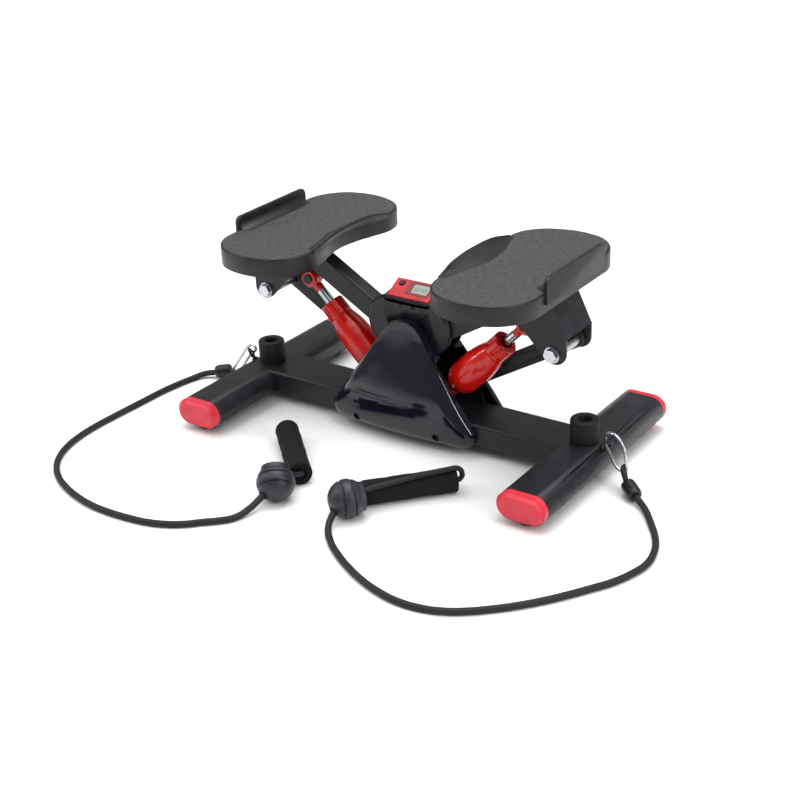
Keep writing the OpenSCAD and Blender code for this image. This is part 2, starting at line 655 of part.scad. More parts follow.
foot_bar_left();
foot_bar_right();
cross_beam();
end_caps();
foot_pads();
foot_pad_screws();
rubber_buffers();
buffer_screws();
eye_bolts();
tower_front();
tower_rear();
front_cover();
rear_cover();
cover_screws();
hub_cover_front();
hub_cover_rear();
hub_screws();
console_housing();
console_panel();
lcd_window();
display_board();
battery();
mode_button();
rocker_arms();
rocker_bushes();
rod_bolts();
rocker_axle();
link_axles();
axle_nuts();
link_spacers();
left_link();
right_link();
left_carrier();
right_carrier();
left_carrier_bolts();
right_carrier_bolts();
left_carrier_nuts();
right_carrier_nuts();
left_link_spacer();
right_link_spacer();
left_pedal();
right_pedal();
left_pedal_screws();
right_pedal_screws();
left_cylinder();
right_cylinder();
left_dial();
right_dial();
left_rod();
right_rod();
carabiners();
cord_eyes();
ferrules();
left_cord();
right_cord();
handle_balls();
foam_grips();
handle_loops();
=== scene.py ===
import json
import math

import bmesh
import bpy
from mathutils import Matrix, Vector


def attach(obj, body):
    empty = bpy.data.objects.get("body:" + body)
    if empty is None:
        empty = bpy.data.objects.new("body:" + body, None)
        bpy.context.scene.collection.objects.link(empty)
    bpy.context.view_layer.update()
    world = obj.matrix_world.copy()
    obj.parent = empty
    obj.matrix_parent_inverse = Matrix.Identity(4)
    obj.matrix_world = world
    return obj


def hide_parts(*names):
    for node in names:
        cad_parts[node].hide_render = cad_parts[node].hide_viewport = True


MM = 0.001
SHARP_ANGLE = math.radians(38.0)

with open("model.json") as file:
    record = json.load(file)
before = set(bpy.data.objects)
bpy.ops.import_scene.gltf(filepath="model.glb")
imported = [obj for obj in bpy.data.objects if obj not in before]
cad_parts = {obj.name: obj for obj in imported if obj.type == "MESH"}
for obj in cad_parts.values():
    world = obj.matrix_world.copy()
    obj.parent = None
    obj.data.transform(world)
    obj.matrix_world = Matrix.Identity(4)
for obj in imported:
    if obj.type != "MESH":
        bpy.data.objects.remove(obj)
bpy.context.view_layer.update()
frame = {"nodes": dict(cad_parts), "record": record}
nodes = frame["nodes"]


# ---------------------------------------------------------------- camera and light

# The camera that fits the photo: its place in metres and its angles in degrees
CAMERA_PLACE = (0.9779, -1.4033, 0.8639)
CAMERA_YAW, CAMERA_PITCH, CAMERA_ROLL = 35.6625, 25.7303, -2.5533
CAMERA_LENS = 67.116


def add_camera():
    data = bpy.data.cameras.new("camera")
    data.lens = CAMERA_LENS
    data.sensor_width = 36.0
    data.clip_start = 0.05
    data.clip_end = 50.0
    cam = bpy.data.objects.new("camera", data)
    bpy.context.scene.collection.objects.link(cam)
    cam.matrix_world = (Matrix.Translation(CAMERA_PLACE)
                        @ Matrix.Rotation(math.radians(CAMERA_YAW), 4, "Z")
                        @ Matrix.Rotation(math.radians(90.0 - CAMERA_PITCH), 4, "X")
                        @ Matrix.Rotation(math.radians(CAMERA_ROLL), 4, "Z"))
    bpy.context.scene.camera = cam


def add_area(name, place, aim, size, power):
    data = bpy.data.lights.new(name, "AREA")
    data.shape = "RECTANGLE"
    data.size, data.size_y = size
    data.energy = power
    lamp = bpy.data.objects.new(name, data)
    bpy.context.scene.collection.objects.link(lamp)
    lamp.location = place
    lamp.rotation_euler = (Vector(aim) - Vector(place)).to_track_quat("-Z", "Y").to_euler()
    return lamp


# Brightness of the surroundings by the height of the direction, from straight down to straight up:
# floor glow, dim walls, bright ceiling
SKY = [(0.0, 1.0), (0.495, 1.0), (0.51, 0.30), (0.78, 0.26), (0.91, 1.8), (1.0, 2.7)]


def add_light():
    scene = bpy.context.scene
    world = bpy.data.worlds.new("studio")
    world.use_nodes = True
    tree = world.node_tree
    back = tree.nodes["Background"]
    coords = tree.nodes.new("ShaderNodeTexCoord")
    parts = tree.nodes.new("ShaderNodeSeparateXYZ")
    span = tree.nodes.new("ShaderNodeMapRange")
    span.inputs["From Min"].default_value = -1.0
    ramp = tree.nodes.new("ShaderNodeValToRGB")
    stops = ramp.color_ramp.elements
    while len(stops) < len(SKY):
        stops.new(0.5)
    for stop, (place, level) in zip(stops, SKY):
        stop.position = place
        stop.color = (level, level, level, 1.0)
    tree.links.new(coords.outputs["Generated"], parts.inputs["Vector"])
    tree.links.new(parts.outputs["Z"], span.inputs["Value"])
    tree.links.new(span.outputs["Result"], ramp.inputs["Fac"])
    tree.links.new(ramp.outputs["Color"], back.inputs["Color"])
    back.inputs["Strength"].default_value = 1.0
    scene.world = world
    scene.view_settings.view_transform = "Standard"
    scene.view_settings.look = "None"
    add_area("top", (0.0, 0.2, 1.7), (0.0, 0.0, 0.1), (1.2, 0.9), 12.0)
    add_area("left", (-1.5, -1.0, 1.0), (0.0, 0.0, 0.12), (0.14, 1.2), 9.0)
    add_area("right", (1.65, -0.4, 0.8), (0.0, 0.0, 0.12), (0.12, 1.0), 10.0)


# ---------------------------------------------------------------- materials

def tex(tree, kind, **values):
    node = tree.nodes.new(kind)
    for name, value in values.items():
        node.inputs[name].default_value = value
    return node


def material(name, color, rough, metallic=0.0, spread=0.12, scale=60.0, grain=600.0, bump=0.1,
             depth=0.0002, coat=0.0, coat_rough=0.05, specular=0.5, rough_spread=0.08):
    """A finish with slow colour drift, roughness drift and a fine surface grain."""
    mat = bpy.data.materials.new(name)
    mat.use_nodes = True
    tree = mat.node_tree
    shader = tree.nodes["Principled BSDF"]
    shader.inputs["Metallic"].default_value = metallic
    shader.inputs["Coat Weight"].default_value = coat
    shader.inputs["Coat Roughness"].default_value = coat_rough
    shader.inputs["Specular IOR Level"].default_value = specular
    coords = tree.nodes.new("ShaderNodeTexCoord")
    slow = tex(tree, "ShaderNodeTexNoise", Scale=scale, Detail=4.0)
    fine = tex(tree, "ShaderNodeTexNoise", Scale=grain, Detail=3.0)
    ramp = tree.nodes.new("ShaderNodeValToRGB")
    ramp.color_ramp.elements[0].position = 0.3
    ramp.color_ramp.elements[1].position = 0.7
    ramp.color_ramp.elements[0].color = [c * (1.0 - spread) for c in color] + [1.0]
    ramp.color_ramp.elements[1].color = [min(1.0, c * (1.0 + spread)) for c in color] + [1.0]
    span = tree.nodes.new("ShaderNodeMapRange")
    span.inputs["To Min"].default_value = max(0.02, rough - rough_spread)
    span.inputs["To Max"].default_value = min(1.0, rough + rough_spread)
    height = tex(tree, "ShaderNodeBump", Strength=bump, Distance=depth)
    link = tree.links.new
    link(coords.outputs["Object"], slow.inputs["Vector"])
    link(coords.outputs["Object"], fine.inputs["Vector"])
    link(slow.outputs["Fac"], ramp.inputs["Fac"])
    link(ramp.outputs["Color"], shader.inputs["Base Color"])
    link(slow.outputs["Fac"], span.inputs["Value"])
    link(span.outputs["Result"], shader.inputs["Roughness"])
    link(fine.outputs["Fac"], height.inputs["Height"])
    link(height.outputs["Normal"], shader.inputs["Normal"])
    return mat


paint = material("charcoal_paint", (0.013, 0.013, 0.017), 0.36, spread=0.35, bump=0.5, grain=900.0,
                 depth=0.0003, specular=0.30)
tread = material("tread", (0.044, 0.044, 0.046), 0.58, spread=0.25, scale=160.0, bump=0.8,
                 grain=420.0, depth=0.0006, specular=0.35)
hub_black = material("matte_black", (0.009, 0.009, 0.012), 0.32, bump=0.15, grain=1200.0,
                     specular=0.32)
# Black base with a blue tint; the black is the cover's own colour, and the blue tint is a painted
# sheen standing in for the cover's bluish reflection
gloss_black = material("gloss_black", (0.006, 0.006, 0.012), 0.09, spread=0.2, bump=0.02,
                       scale=25.0, coat=0.25, specular=0.35, rough_spread=0.03)
red_paint = material("red_paint", (0.56, 0.006, 0.003), 0.20, bump=0.03, coat=0.4, specular=0.3,
                     rough_spread=0.05)
red_plastic = material("red_plastic", (0.62, 0.030, 0.050), 0.34, bump=0.05, specular=0.35)
panel_red = material("panel_red", (0.46, 0.018, 0.030), 0.36, bump=0.06, specular=0.3)
rubber = material("black_rubber", (0.008, 0.008, 0.009), 0.60, bump=0.3, grain=1100.0,
                  specular=0.25)
chrome = material("chrome", (0.50, 0.51, 0.54), 0.16, metallic=1.0, spread=0.08, bump=0.03)
zinc = material("zinc_steel", (0.42, 0.43, 0.45), 0.30, metallic=1.0, bump=0.05)
black_metal = material("black_metal", (0.018, 0.018, 0.020), 0.38, metallic=0.3, specular=0.35)
# Darker copy of the tread for the pedal's sides, lip, foot stop and ribs underneath: painted shade,
# as the real pedal is one material
pedal_shade_black = material("pedal_shade_black", (0.011, 0.011, 0.014), 0.42, spread=0.3, bump=0.5,
                       grain=600.0, depth=0.0004, specular=0.32)
dark_red = material("dark_red", (0.16, 0.008, 0.012), 0.4, bump=0.05)
lcd_ink = material("lcd_ink", (0.05, 0.06, 0.05), 0.4, spread=0.05)
lcd = material("lcd", (0.25, 0.29, 0.25), 0.18, spread=0.04, scale=30.0, bump=0.01)
board = material("board", (0.02, 0.12, 0.05), 0.35)
bush = material("bush_plastic", (0.70, 0.68, 0.60), 0.5)
cord_cloth = material("cord_black", (0.011, 0.011, 0.013), 0.60, bump=0.5, grain=700.0,
                      depth=0.0004, specular=0.3)
ball_grey = material("ball_grey", (0.022, 0.022, 0.030), 0.40, spread=0.3, bump=0.4, grain=500.0,
                     specular=0.35)
foam = material("foam_black", (0.007, 0.007, 0.008), 0.85, bump=0.8, grain=900.0, depth=0.0005,
                specular=0.2)

FINISH = {"charcoal_paint": paint, "red_plastic": red_plastic, "black_rubber": rubber,
          "zinc_steel": zinc, "chrome": chrome, "black_metal": black_metal,
          "gloss_black": gloss_black, "matte_black": hub_black, "lcd": lcd, "board": board,
          "cell_steel": zinc, "bush_plastic": bush, "tread": tread, "red_paint": red_paint,
          "cord_black": cord_cloth, "ball_grey": ball_grey, "foam_black": foam}


def paint_nodes():
    slots = {s["node"]: s["material_slot"] for s in frame["record"]["subparts"]}
    for name, obj in nodes.items():
        mat = FINISH[slots[name]]
        if name == "console_panel":
            mat = panel_red
        obj.data.materials.clear()
        obj.data.materials.append(mat)


# ---------------------------------------------------------------- cords

# The same routes as the model's cords, in millimetres. Their points were picked by eye along each
# cord in the photo, turned into floor positions through the fitted camera by a separate program,
# then rounded and adjusted by hand.
RIGHT_ROUTE = [
    (326, -38), (344, -53), (363, -76), (382, -104), (392, -128),
    (396, -154), (391, -180), (381, -205), (367, -228), (352, -251),
    (336, -273), (319, -293), (301, -311), (281, -328), (260, -341),
    (236, -349), (208, -351), (179, -346), (150, -336), (125, -324),
    (100, -309), (76, -291), (58, -271), (51, -250)]
LEFT_ROUTE = [
    (-330, -15), (-344, -22), (-353, -42), (-358, -68), (-361, -96),
    (-362, -125), (-363, -157), (-364, -189), (-364, -220), (-361, -250),
    (-353, -280), (-340, -305), (-324, -324), (-302, -341), (-276, -354),
    (-246, -364), (-214, -370), (-186, -371), (-157, -369), (-132, -365),
    (-110, -357), (-92, -346), (-78, -333), (-63, -320), (-52, -306),
    (-46, -284), (-43, -263)]
CORD_R = 4.0


def link_object(obj):
    bpy.context.scene.collection.objects.link(obj)
    return obj


def tube(name, points, radius, mat, closed=False):
    """A round bar on a smooth curve through the points, in millimetres."""
    curve = bpy.data.curves.new(name, "CURVE")
    curve.dimensions = "3D"
    curve.bevel_depth = radius * MM
    curve.bevel_resolution = 5
    curve.resolution_u = 8
    curve.use_fill_caps = not closed
    spline = curve.splines.new("BEZIER")
    spline.bezier_points.add(len(points) - 1)
    for spot, point in zip(spline.bezier_points, points):
        spot.co = Vector(point) * MM
        spot.handle_left_type = spot.handle_right_type = "AUTO"
    spline.use_cyclic_u = closed
    curve.materials.append(mat)
    return link_object(bpy.data.objects.new(name, curve))


def route_points(route):
    heights = {0: 8.4, 1: 6.0, len(route) - 2: 7.5, len(route) - 1: 15.0}
    return [(x, y, heights.get(i, CORD_R + 0.05)) for i, (x, y) in enumerate(route)]


def add_cord(side, route):
    points = route_points(route)
    cord = tube(side + "_training_cord", points, CORD_R, cord_cloth)
    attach(cord, "frame")
    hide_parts(side + "_cord")


# ---------------------------------------------------------------- mesh helpers

def build(name, verts, faces, mats, body, node=None, slot=None, smooth=True, faces_mat=None):
    """A mesh object from points in millimetres, riding on a body."""
    mesh = bpy.data.meshes.new(name)
    mesh.from_pydata([Vector(v) * MM for v in verts], [], faces)
    for mat in mats:
        mesh.materials.append(mat)
    if faces_mat:
        for face, index in zip(mesh.polygons, faces_mat):
            face.material_index = index
    work = bmesh.new()
    work.from_mesh(mesh)
    bmesh.ops.recalc_face_normals(work, faces=work.faces)
    work.to_mesh(mesh)
    work.free()
    obj = link_object(bpy.data.objects.new(name, mesh))
    if smooth:
        mesh.shade_smooth()
        mesh.set_sharp_from_angle(angle=SHARP_ANGLE)
    if body:
        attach(obj, body)
    if node:
        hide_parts(*([node] if isinstance(node, str) else node))
    return obj


def loft(rings, caps=True, closed=False):
    """Points and faces of a skin over rings that all have the same number of points."""
    count = len(rings[0])
    verts = [p for ring in rings for p in ring]
    faces = []
    last = len(rings) if closed else len(rings) - 1
    for i in range(last):
        low, high = i * count, ((i + 1) % len(rings)) * count
        for k in range(count):
            n = (k + 1) % count
            faces.append((low + k, low + n, high + n, high + k))
    if caps and not closed:
        faces.append(tuple(reversed(range(count))))
        faces.append(tuple(range((len(rings) - 1) * count, len(rings) * count)))
    return verts, faces


def merge(parts):
    """Joins (points, faces) pairs into one."""
    verts, faces = [], []
    for more_verts, more_faces in parts:
        base = len(verts)
        verts += [tuple(v) for v in more_verts]
        faces += [tuple(base + i for i in face) for face in more_faces]
    return verts, faces


def circle(radius, count=48):
    return [(radius * math.cos(2 * math.pi * k / count), radius * math.sin(2 * math.pi * k / count))
            for k in range(count)]


def turned(profile, origin, axis, count=48):
    """Points and faces of a solid turned about an axis from (radius, distance) pairs."""
    turn = Vector(axis).to_track_quat("Z", "Y").to_matrix()
    rings = []
    for radius, height in profile:
        rings.append([turn @ Vector((x, y, height)) + Vector(origin)
                      for x, y in circle(max(radius, 0.01), count)])
    return loft(rings)


def brick(low, high):
    xs, ys, zs = zip(low, high)
    verts = [(x, y, z) for x in xs for y in ys for z in zs]
    faces = [(0, 1, 3, 2), (4, 6, 7, 5), (0, 4, 5, 1), (2, 3, 7, 6), (0, 2, 6, 4), (1, 5, 7, 3)]
    return verts, faces


def spline_at(points, i, t, closed):
    """The Catmull-Rom curve at a share t of the way from point i to the next."""
    count = len(points)

    def pick(k):
        return points[k % count] if closed else points[min(max(k, 0), count - 1)]

    a, b, c, d = (Vector(pick(i + k)) for k in (-1, 0, 1, 2))
    return 0.5 * (2 * b + (c - a) * t + (2 * a - 5 * b + 4 * c - d) * t ** 2
                  + (3 * b - a - 3 * c + d) * t ** 3)


def smooth_line(points, steps, closed=True):
    """A Catmull-Rom curve through the points."""
    spans = len(points) if closed else len(points) - 1
    line = [spline_at(points, i, k / steps, closed) for i in range(spans) for k in range(steps)]
    if not closed:
        line.append(Vector(points[-1]))
    return line


def inset(outline, distance):
    """The closed outline moved inwards along its own normals; it runs anticlockwise."""
    count = len(outline)
    moved = []
    for i in range(count):
        along = outline[(i + 1) % count] - outline[i - 1]
        normal = Vector((-along.y, along.x)).normalized()
        moved.append(outline[i] + normal * distance)
    return moved


def bevel(obj, width, segments=3, angle=35.0):
    mod = obj.modifiers.new("edges", "BEVEL")
    mod.width = width * MM
    mod.segments = segments
    mod.limit_method = "ANGLE"
    mod.angle_limit = math.radians(angle)
    mod.harden_normals = True


# ---------------------------------------------------------------- pedals

TREAD_Z = 250.0
PEDAL_LOW = 226.0
PEDAL_OUTLINE = [
    (221, -60), (220, -90), (210, -112), (188, -130), (152, -137), (118, -129), (98, -110),
    (90, -84), (95, -56), (104, -28), (107, 0), (103, 28), (95, 54), (89, 78), (95, 104),
    (116, 124), (152, 134), (188, 128), (210, 110), (220, 88), (221, 60), (221, 0)]
# Along the foot: the edge of the tread, the crest of the lip, and the lip's height
LIP_ROWS = [
    (-80, 92, 90, 1.0), (-70, 94, 90, 4.0), (-55, 97, 89, 8.0), (-38, 102, 89, 10.5),
    (-20, 107, 89, 12.0), (0, 108, 89, 12.0), (20, 106, 89, 11.5), (38, 102, 89, 10.0),
    (54, 97, 89, 7.0), (68, 93, 89, 3.5), (78, 91, 88.5, 1.0)]


def pedal_shell():
    outline = list(reversed(smooth_line([Vector(p) for p in PEDAL_OUTLINE], 6)))
    steps = [(3.4, TREAD_Z - 3.0), (3.2, PEDAL_LOW + 0.6), (2.8, PEDAL_LOW), (0.9, PEDAL_LOW),
             (0.25, PEDAL_LOW + 0.3), (0.0, PEDAL_LOW + 1.0), (0.0, TREAD_Z - 2.6),
             (0.25, TREAD_Z - 1.3), (0.9, TREAD_Z - 0.4), (1.9, TREAD_Z - 0.05), (2.6, TREAD_Z)]
    rings = [[(p.x, p.y, z) for p in inset(outline, d)] for d, z in steps]
    return outline, loft(rings)


def pedal_lip():
    rows = smooth_line([Vector(row) for row in LIP_ROWS], 4, closed=False)
    rings = []
    for y, edge, crest, rise in rows:
        top = TREAD_Z + rise
        rings.append([(edge + 8.0, y, TREAD_Z - 1.5), (edge + 7.0, y, TREAD_Z + 0.02),
                      (edge + 2.0, y, TREAD_Z + 0.14 * rise),
                      (edge + 0.45 * (crest - edge), y, TREAD_Z + 0.48 * rise),
                      (crest + 2.4, y, top - 0.9), (crest + 1.0, y, top),
                      (crest - 0.3, y, top - 0.2), (crest - 0.95, y, top - 1.4),
                      (crest - 1.0, y, top - 4.0),
                      (edge - 1.0, y, TREAD_Z - 8.0)])
    return loft(rings)


def pedal_stop():
    """The outer foot stop: an upright plate with rounded top corners and a fillet at its foot."""
    edge = []
    for cy, start in ((64.0, 0.0), (-58.0, 90.0)):
        for k in range(9):
            a = math.radians(start + 90.0 * k / 8)
            edge.append((cy + 8.0 * math.cos(a), TREAD_Z + 9.0 + 8.0 * math.sin(a)))
    outline = [Vector(p) for p in [(72.0, TREAD_Z - 14.0)] + edge + [(-66.0, TREAD_Z - 14.0)]]
    rings = []
    for x, d in ((219.0, 0.7), (219.2, 0.2), (219.7, 0.0), (223.3, 0.0), (223.8, 0.2),
                 (224.0, 0.7)):
        rings.append([(x, p.x, p.y) for p in inset(outline, d)])
    fillet = []
    for y, scale in ((-62.0, 0.5), (-58.0, 1.0), (64.0, 1.0), (68.0, 0.5)):
        arc = [(219.5 - 14.5 * scale * (1 - math.sin(a)),
                TREAD_Z + 11.0 * scale * (1 - math.cos(a)))
               for a in (math.radians(9.0 * k) for k in range(11))]
        fillet.append([(x, y, z) for x, z in arc]
                      + [(219.5, y, TREAD_Z - 1.0), (205.0, y, TREAD_Z - 1.0)])
    return merge([loft(rings), loft(fillet)])


def inside(outline, x, y):
    hit = False
    for a, b in zip(outline, outline[1:] + outline[:1]):
        if (a.y > y) != (b.y > y) and x < (b.x - a.x) * (y - a.y) / (b.y - a.y) + a.x:
            hit = not hit
    return hit


def pedal_studs(outline):
    margin = inset(outline, 9.0)
    parts = []
    pitch_x, pitch_y = 17.0, 10.0
    for row in range(-17, 18):
        for column in range(0, 12):
            y = row * pitch_y
            x = 92.0 + column * pitch_x + (pitch_x / 2 if row % 2 else 0.0)
            near_lip = abs(y) < 80.0 and x < 123.0 - abs(y) * 0.25
            near_stop = -70.0 < y < 76.0 and x > 202.0
            if inside(margin, x, y) and not near_lip and not near_stop:
                x += 2.2 * math.sin(1.7 * row + 2.9 * column)
                y += 1.4 * math.cos(2.3 * row + 1.3 * column)
                parts.append(turned([(2.3, TREAD_Z - 0.4), (2.25, TREAD_Z + 0.2),
                                     (1.9, TREAD_Z + 0.55), (1.0, TREAD_Z + 0.7)],
                                    (x, y, 0), (0, 0, 1), 12))
    return merge(parts)


def pedal_ribs(outline):
    """Stiffening ribs and screw bosses under the tread."""
    core = inset(outline, 3.0)
    parts = []
    for y in (-90.0, -50.0, 50.0, 90.0):
        xs = [a.x + (b.x - a.x) * (y - a.y) / (b.y - a.y) for a, b in zip(core, core[1:] + core[:1])
              if (a.y > y) != (b.y > y)]
        parts.append(brick((min(xs), y - 1.25, TREAD_Z - 16.0), (max(xs), y + 1.25, TREAD_Z - 2.5)))
    parts.append(brick((148.0, -133.5, TREAD_Z - 12.0), (150.5, 130.5, TREAD_Z - 2.5)))
    for x in (184.0, 200.0):
        for y in (-20.0, 20.0):
            parts.append(turned([(2.0, TREAD_Z - 10.0), (2.0, PEDAL_LOW), (5.6, PEDAL_LOW),
                                 (6.0, PEDAL_LOW + 0.4), (6.0, TREAD_Z - 2.5)],
                                (x, y, 0), (0, 0, 1), 32))
    return merge(parts)


def flipped(part, sign):
    verts, faces = part
    return [(sign * v[0], v[1], v[2]) for v in verts], faces


def add_pedal(side, sign):
    outline, shell = pedal_shell()
    body = side + "_carrier"
    # Only the top face keeps the tread; every other face of the pedal takes the darker copy as
    # painted shade
    shade_marks = [0] * len(shell[1])
    shade_marks[-1] = 1
    build(side + "_pedal_body", *flipped(shell, sign), [pedal_shade_black, tread], body,
          node=side + "_pedal", slot="tread", faces_mat=shade_marks)
    # The lip, foot stop and ribs also take the darker copy: painted shade
    for label, part, mat in (("lip", pedal_lip(), pedal_shade_black),
                             ("foot_stop", pedal_stop(), pedal_shade_black),
                             ("studs", pedal_studs(outline), tread),
                             ("ribs", pedal_ribs(outline), pedal_shade_black)):
        build(side + "_pedal_" + label, *flipped(part, sign), [mat], body, slot="tread")


# ---------------------------------------------------------------- covers

def cover_outline(shrink, count=144):
    """The rounded triangle of a cover, anticlockwise seen from the front, as (x, z)."""
    corners = [(91.0, 26.0, 16.0), (0.0, 127.0, 31.0), (-91.0, 26.0, 16.0)]
    line = []
    for i, (cx, cz, r) in enumerate(corners):
        px, pz, pr = corners[i - 1]
        nx, nz, nr = corners[(i + 1) % 3]
        before = (math.atan2(cz - pz, cx - px) - math.pi / 2
                  + math.asin((pr - r) / math.hypot(cx - px, cz - pz)))
        after = (math.atan2(nz - cz, nx - cx) - math.pi / 2
                 + math.asin((r - nr) / math.hypot(nx - cx, nz - cz)))
        while after < before:
            after += 2 * math.pi
        for k in range(25):
            a = before + (after - before) * k / 24
            line.append(Vector((cx + (r - shrink) * math.cos(a), cz + (r - shrink) * math.sin(a))))
    total = [0.0]
    for a, b in zip(line, line[1:] + line[:1]):
        total.append(total[-1] + (b - a).length)
    spread = []
    j = 0
    for k in range(count):
        want = total[-1] * k / count
        while total[j + 1] < want:
            j += 1
        t = (want - total[j]) / max(total[j + 1] - total[j], 1e-9)
        spread.append(line[j].lerp(line[(j + 1) % len(line)], t))
    return spread


# Height and how far forward the cover's front is there
COVER_FACE = [(-20.0, -55.0), (10.0, -56.0), (35.0, -57.6), (60.0, -54.5), (96.0, -45.0),
              (130.0, -35.5), (157.0, -29.5), (180.0, -24.0)]
COVER_SCREWS = (-60.0, 60.0)
COVER_SCREW_Z = 23.0
COVER_WALL = 2.2


def cover_face(x, z):
    """How far forward the front of the cover is."""
    spots = COVER_FACE
    for i in range(1, len(spots) - 2):
        if z <= spots[i + 1][0]:
            break
    t = min(max((z - spots[i][0]) / (spots[i + 1][0] - spots[i][0]), 0.0), 1.0)
    return spline_at(spots, i, t, False)[1] + 0.0011 * x * x


def cover_rings():
    rim_low, rim_high, step_z, round_r = -31.5, -18.2, 112.0, 15.0
    rings = []
    base = cover_outline(0.0)

    def ring(shrink, rise):
        line = cover_outline(shrink)
        points = []
        for home, p in zip(base, line):
            if rise is None:
                points.append((p.x, rim_high if home.y > step_z else rim_low, p.y))
            else:
                start = rim_low + 0.25 * (cover_face(home.x, home.y) - rim_low)
                front = cover_face(p.x, p.y)
                points.append((p.x, start + (front - start) * rise, p.y))
        return points

    rings.append(ring(0.0, None))
    for k in range(9):
        a = math.radians(90.0 * k / 8)
        rings.append(ring(round_r * (1 - math.cos(a)), math.sin(a)))
    edge = rings[-1]
    cx, cz = 0.0, 62.0
    for scale in (0.86, 0.7, 0.52, 0.34, 0.16, 0.05):
        points = []
        for x, _, z in edge:
            nx, nz = cx + (x - cx) * scale, cz + (z - cz) * scale
            points.append((nx, cover_face(nx, nz), nz))
        rings.append(points)
    return rings


def add_cover(label, sign):
    rings = cover_rings()
    verts, faces = loft(rings, caps=False)
    count = len(rings[0])
    faces.append(tuple(range((len(rings) - 1) * count, len(rings) * count)))
    verts = [(x, sign * y, z) for x, y, z in verts]
    obj = build(label, verts, faces, [gloss_black], None, smooth=True)
    shell = obj.modifiers.new("wall", "SOLIDIFY")
    shell.thickness = COVER_WALL * MM
    shell.offset = -1.0
    forward = (0, -sign, 0)
    carve(obj, [build(label + "_cut", *turned([(5.0, 33.0), (5.0, 80.0)], (x, 0, COVER_SCREW_Z),
                                              forward, 40), [gloss_black], None)
                for x in COVER_SCREWS])
    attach(obj, "frame")
    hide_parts(label)
    parts = []
    for x in COVER_SCREWS:
        parts.append(turned([(2.2, 31.5), (6.0, 31.5), (6.0, 50.0), (5.0, 50.0), (5.0, 47.0),
                             (2.2, 47.0), (2.2, 31.5)], (x, 0, COVER_SCREW_Z), forward, 40))
    build(label + "_bosses", *merge(parts), [gloss_black], "frame", slot="gloss_black")


HUB_HALF, HUB_R, HUB_Z = 24.75, 36.25, 147.25
SEAT_HALF, SEAT_Z = 31.2, 179.5


def hub_outline(notched):
    """The long round outline of a hub cover, as (x, z); the front one has a flat console seat."""
    line = []
    for cx, start in ((HUB_HALF, -90.0), (-HUB_HALF, 90.0)):
        for k in range(49):
            a = math.radians(start + 180.0 * k / 48)
            line.append(Vector((cx + HUB_R * math.cos(a), HUB_Z + HUB_R * math.sin(a))))
    if notched:
        line = [Vector((p.x, min(p.y, SEAT_Z))) if abs(p.x) < SEAT_HALF else p for p in line]
    return line


def carve(obj, cutters):
    """Cuts the objects out of a mesh and removes them."""
    for cut in cutters:
        hole = obj.modifiers.new("hole", "BOOLEAN")
        hole.object = cut
        hole.solver = "EXACT"
    apply_modifiers(obj)
    for cut in cutters:
        bpy.data.objects.remove(cut)
    obj.data.shade_smooth()
    obj.data.set_sharp_from_angle(angle=SHARP_ANGLE)


def add_hub_cover(label, sign):
    outline = hub_outline(sign > 0)
    round_r = 4.6
    steps = [(0.5, -12.0), (0.0, -12.5)]
    for k in range(9):
        a = math.radians(90.0 * k / 8)
        steps.append((round_r * (1 - math.cos(a)), -18.0 + round_r * (1 - math.sin(a))))
    rings = [[(p.x, sign * y, p.y) for p in inset(outline, d)] for d, y in steps]
    obj = build(label + "_shell", *loft(rings), [hub_black], None)
    forward = (0, -sign, 0)
    axle = turned([(17.5, 0.0), (17.5, 30.0)], (0, 0, 120), forward, 64)
    cutters = [build(label + "_axle_cut", *axle, [hub_black], None)]
    for x in (-9.0, 9.0):
        screw = turned([(3.2, 16.5), (3.2, 30.0)], (x, 0, 173), forward, 32)
        cutters.append(build(label + "_screw_cut", *screw, [hub_black], None))
    carve(obj, cutters)
    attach(obj, "frame")
    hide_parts(label)
    posts = [turned([(2.05, 17.9), (4.5, 17.9), (4.5, 27.5), (2.05, 27.5), (2.05, 17.9)],
                    (x, 0, 131), forward, 32) for x in (-19.0, 19.0)]
    build(label + "_posts", *merge(posts), [hub_black], "frame", slot="matte_black")


BUFFER_X, BUFFER_LOW = 238.0, 43.0


def add_buffers():
    """Rubber stops under the arms, each with a deep round well in its top."""
    profile = [(3.05, 0.0), (16.9, 0.0), (17.5, 0.7), (17.5, 26.6), (17.2, 27.8), (16.3, 28.7),
               (15.0, 29.0), (10.0, 29.0), (9.0, 28.4), (8.6, 27.2), (8.4, 17.1), (3.05, 17.0),
               (3.05, 0.0)]
    parts = [turned(profile, (x, 0, BUFFER_LOW), (0, 0, 1), 64) for x in (-BUFFER_X, BUFFER_X)]
    build("buffer_rubbers", *merge(parts), [rubber], "frame", node="rubber_buffers",
          slot="black_rubber")


def apply_modifiers(obj):
    graph = bpy.context.evaluated_depsgraph_get()
    mesh = bpy.data.meshes.new_from_object(obj.evaluated_get(graph))
    obj.modifiers.clear()
    obj.data = mesh


# ---------------------------------------------------------------- handles and clips

# Radius and distance along the axis, from the end the cord enters to the end at the grip
BALL_BANDS = [(0.0, -22.6), (4.0, -22.3), (8.5, -21.3), (12.6, -19.1), (16.0, -16.3), (18.7, -13.2),
              (20.6, -9.9), (21.4, -8.2), (21.5, -7.7), (20.6, -7.1), (20.3, -6.4), (20.6, -5.7),
              (22.2, -5.2), (22.7, -4.4), (23.0, -1.5), (23.0, 1.5), (22.7, 4.4), (22.2, 5.2),
              (20.6, 5.7), (20.3, 6.4), (20.6, 7.1), (21.5, 7.7), (21.4, 8.2), (20.6, 9.9),
              (19.2, 12.4), (17.6, 14.4), (17.2, 15.2), (17.2, 18.6), (16.6, 19.6), (8.0, 22.0),
              (0.0, 22.6)]
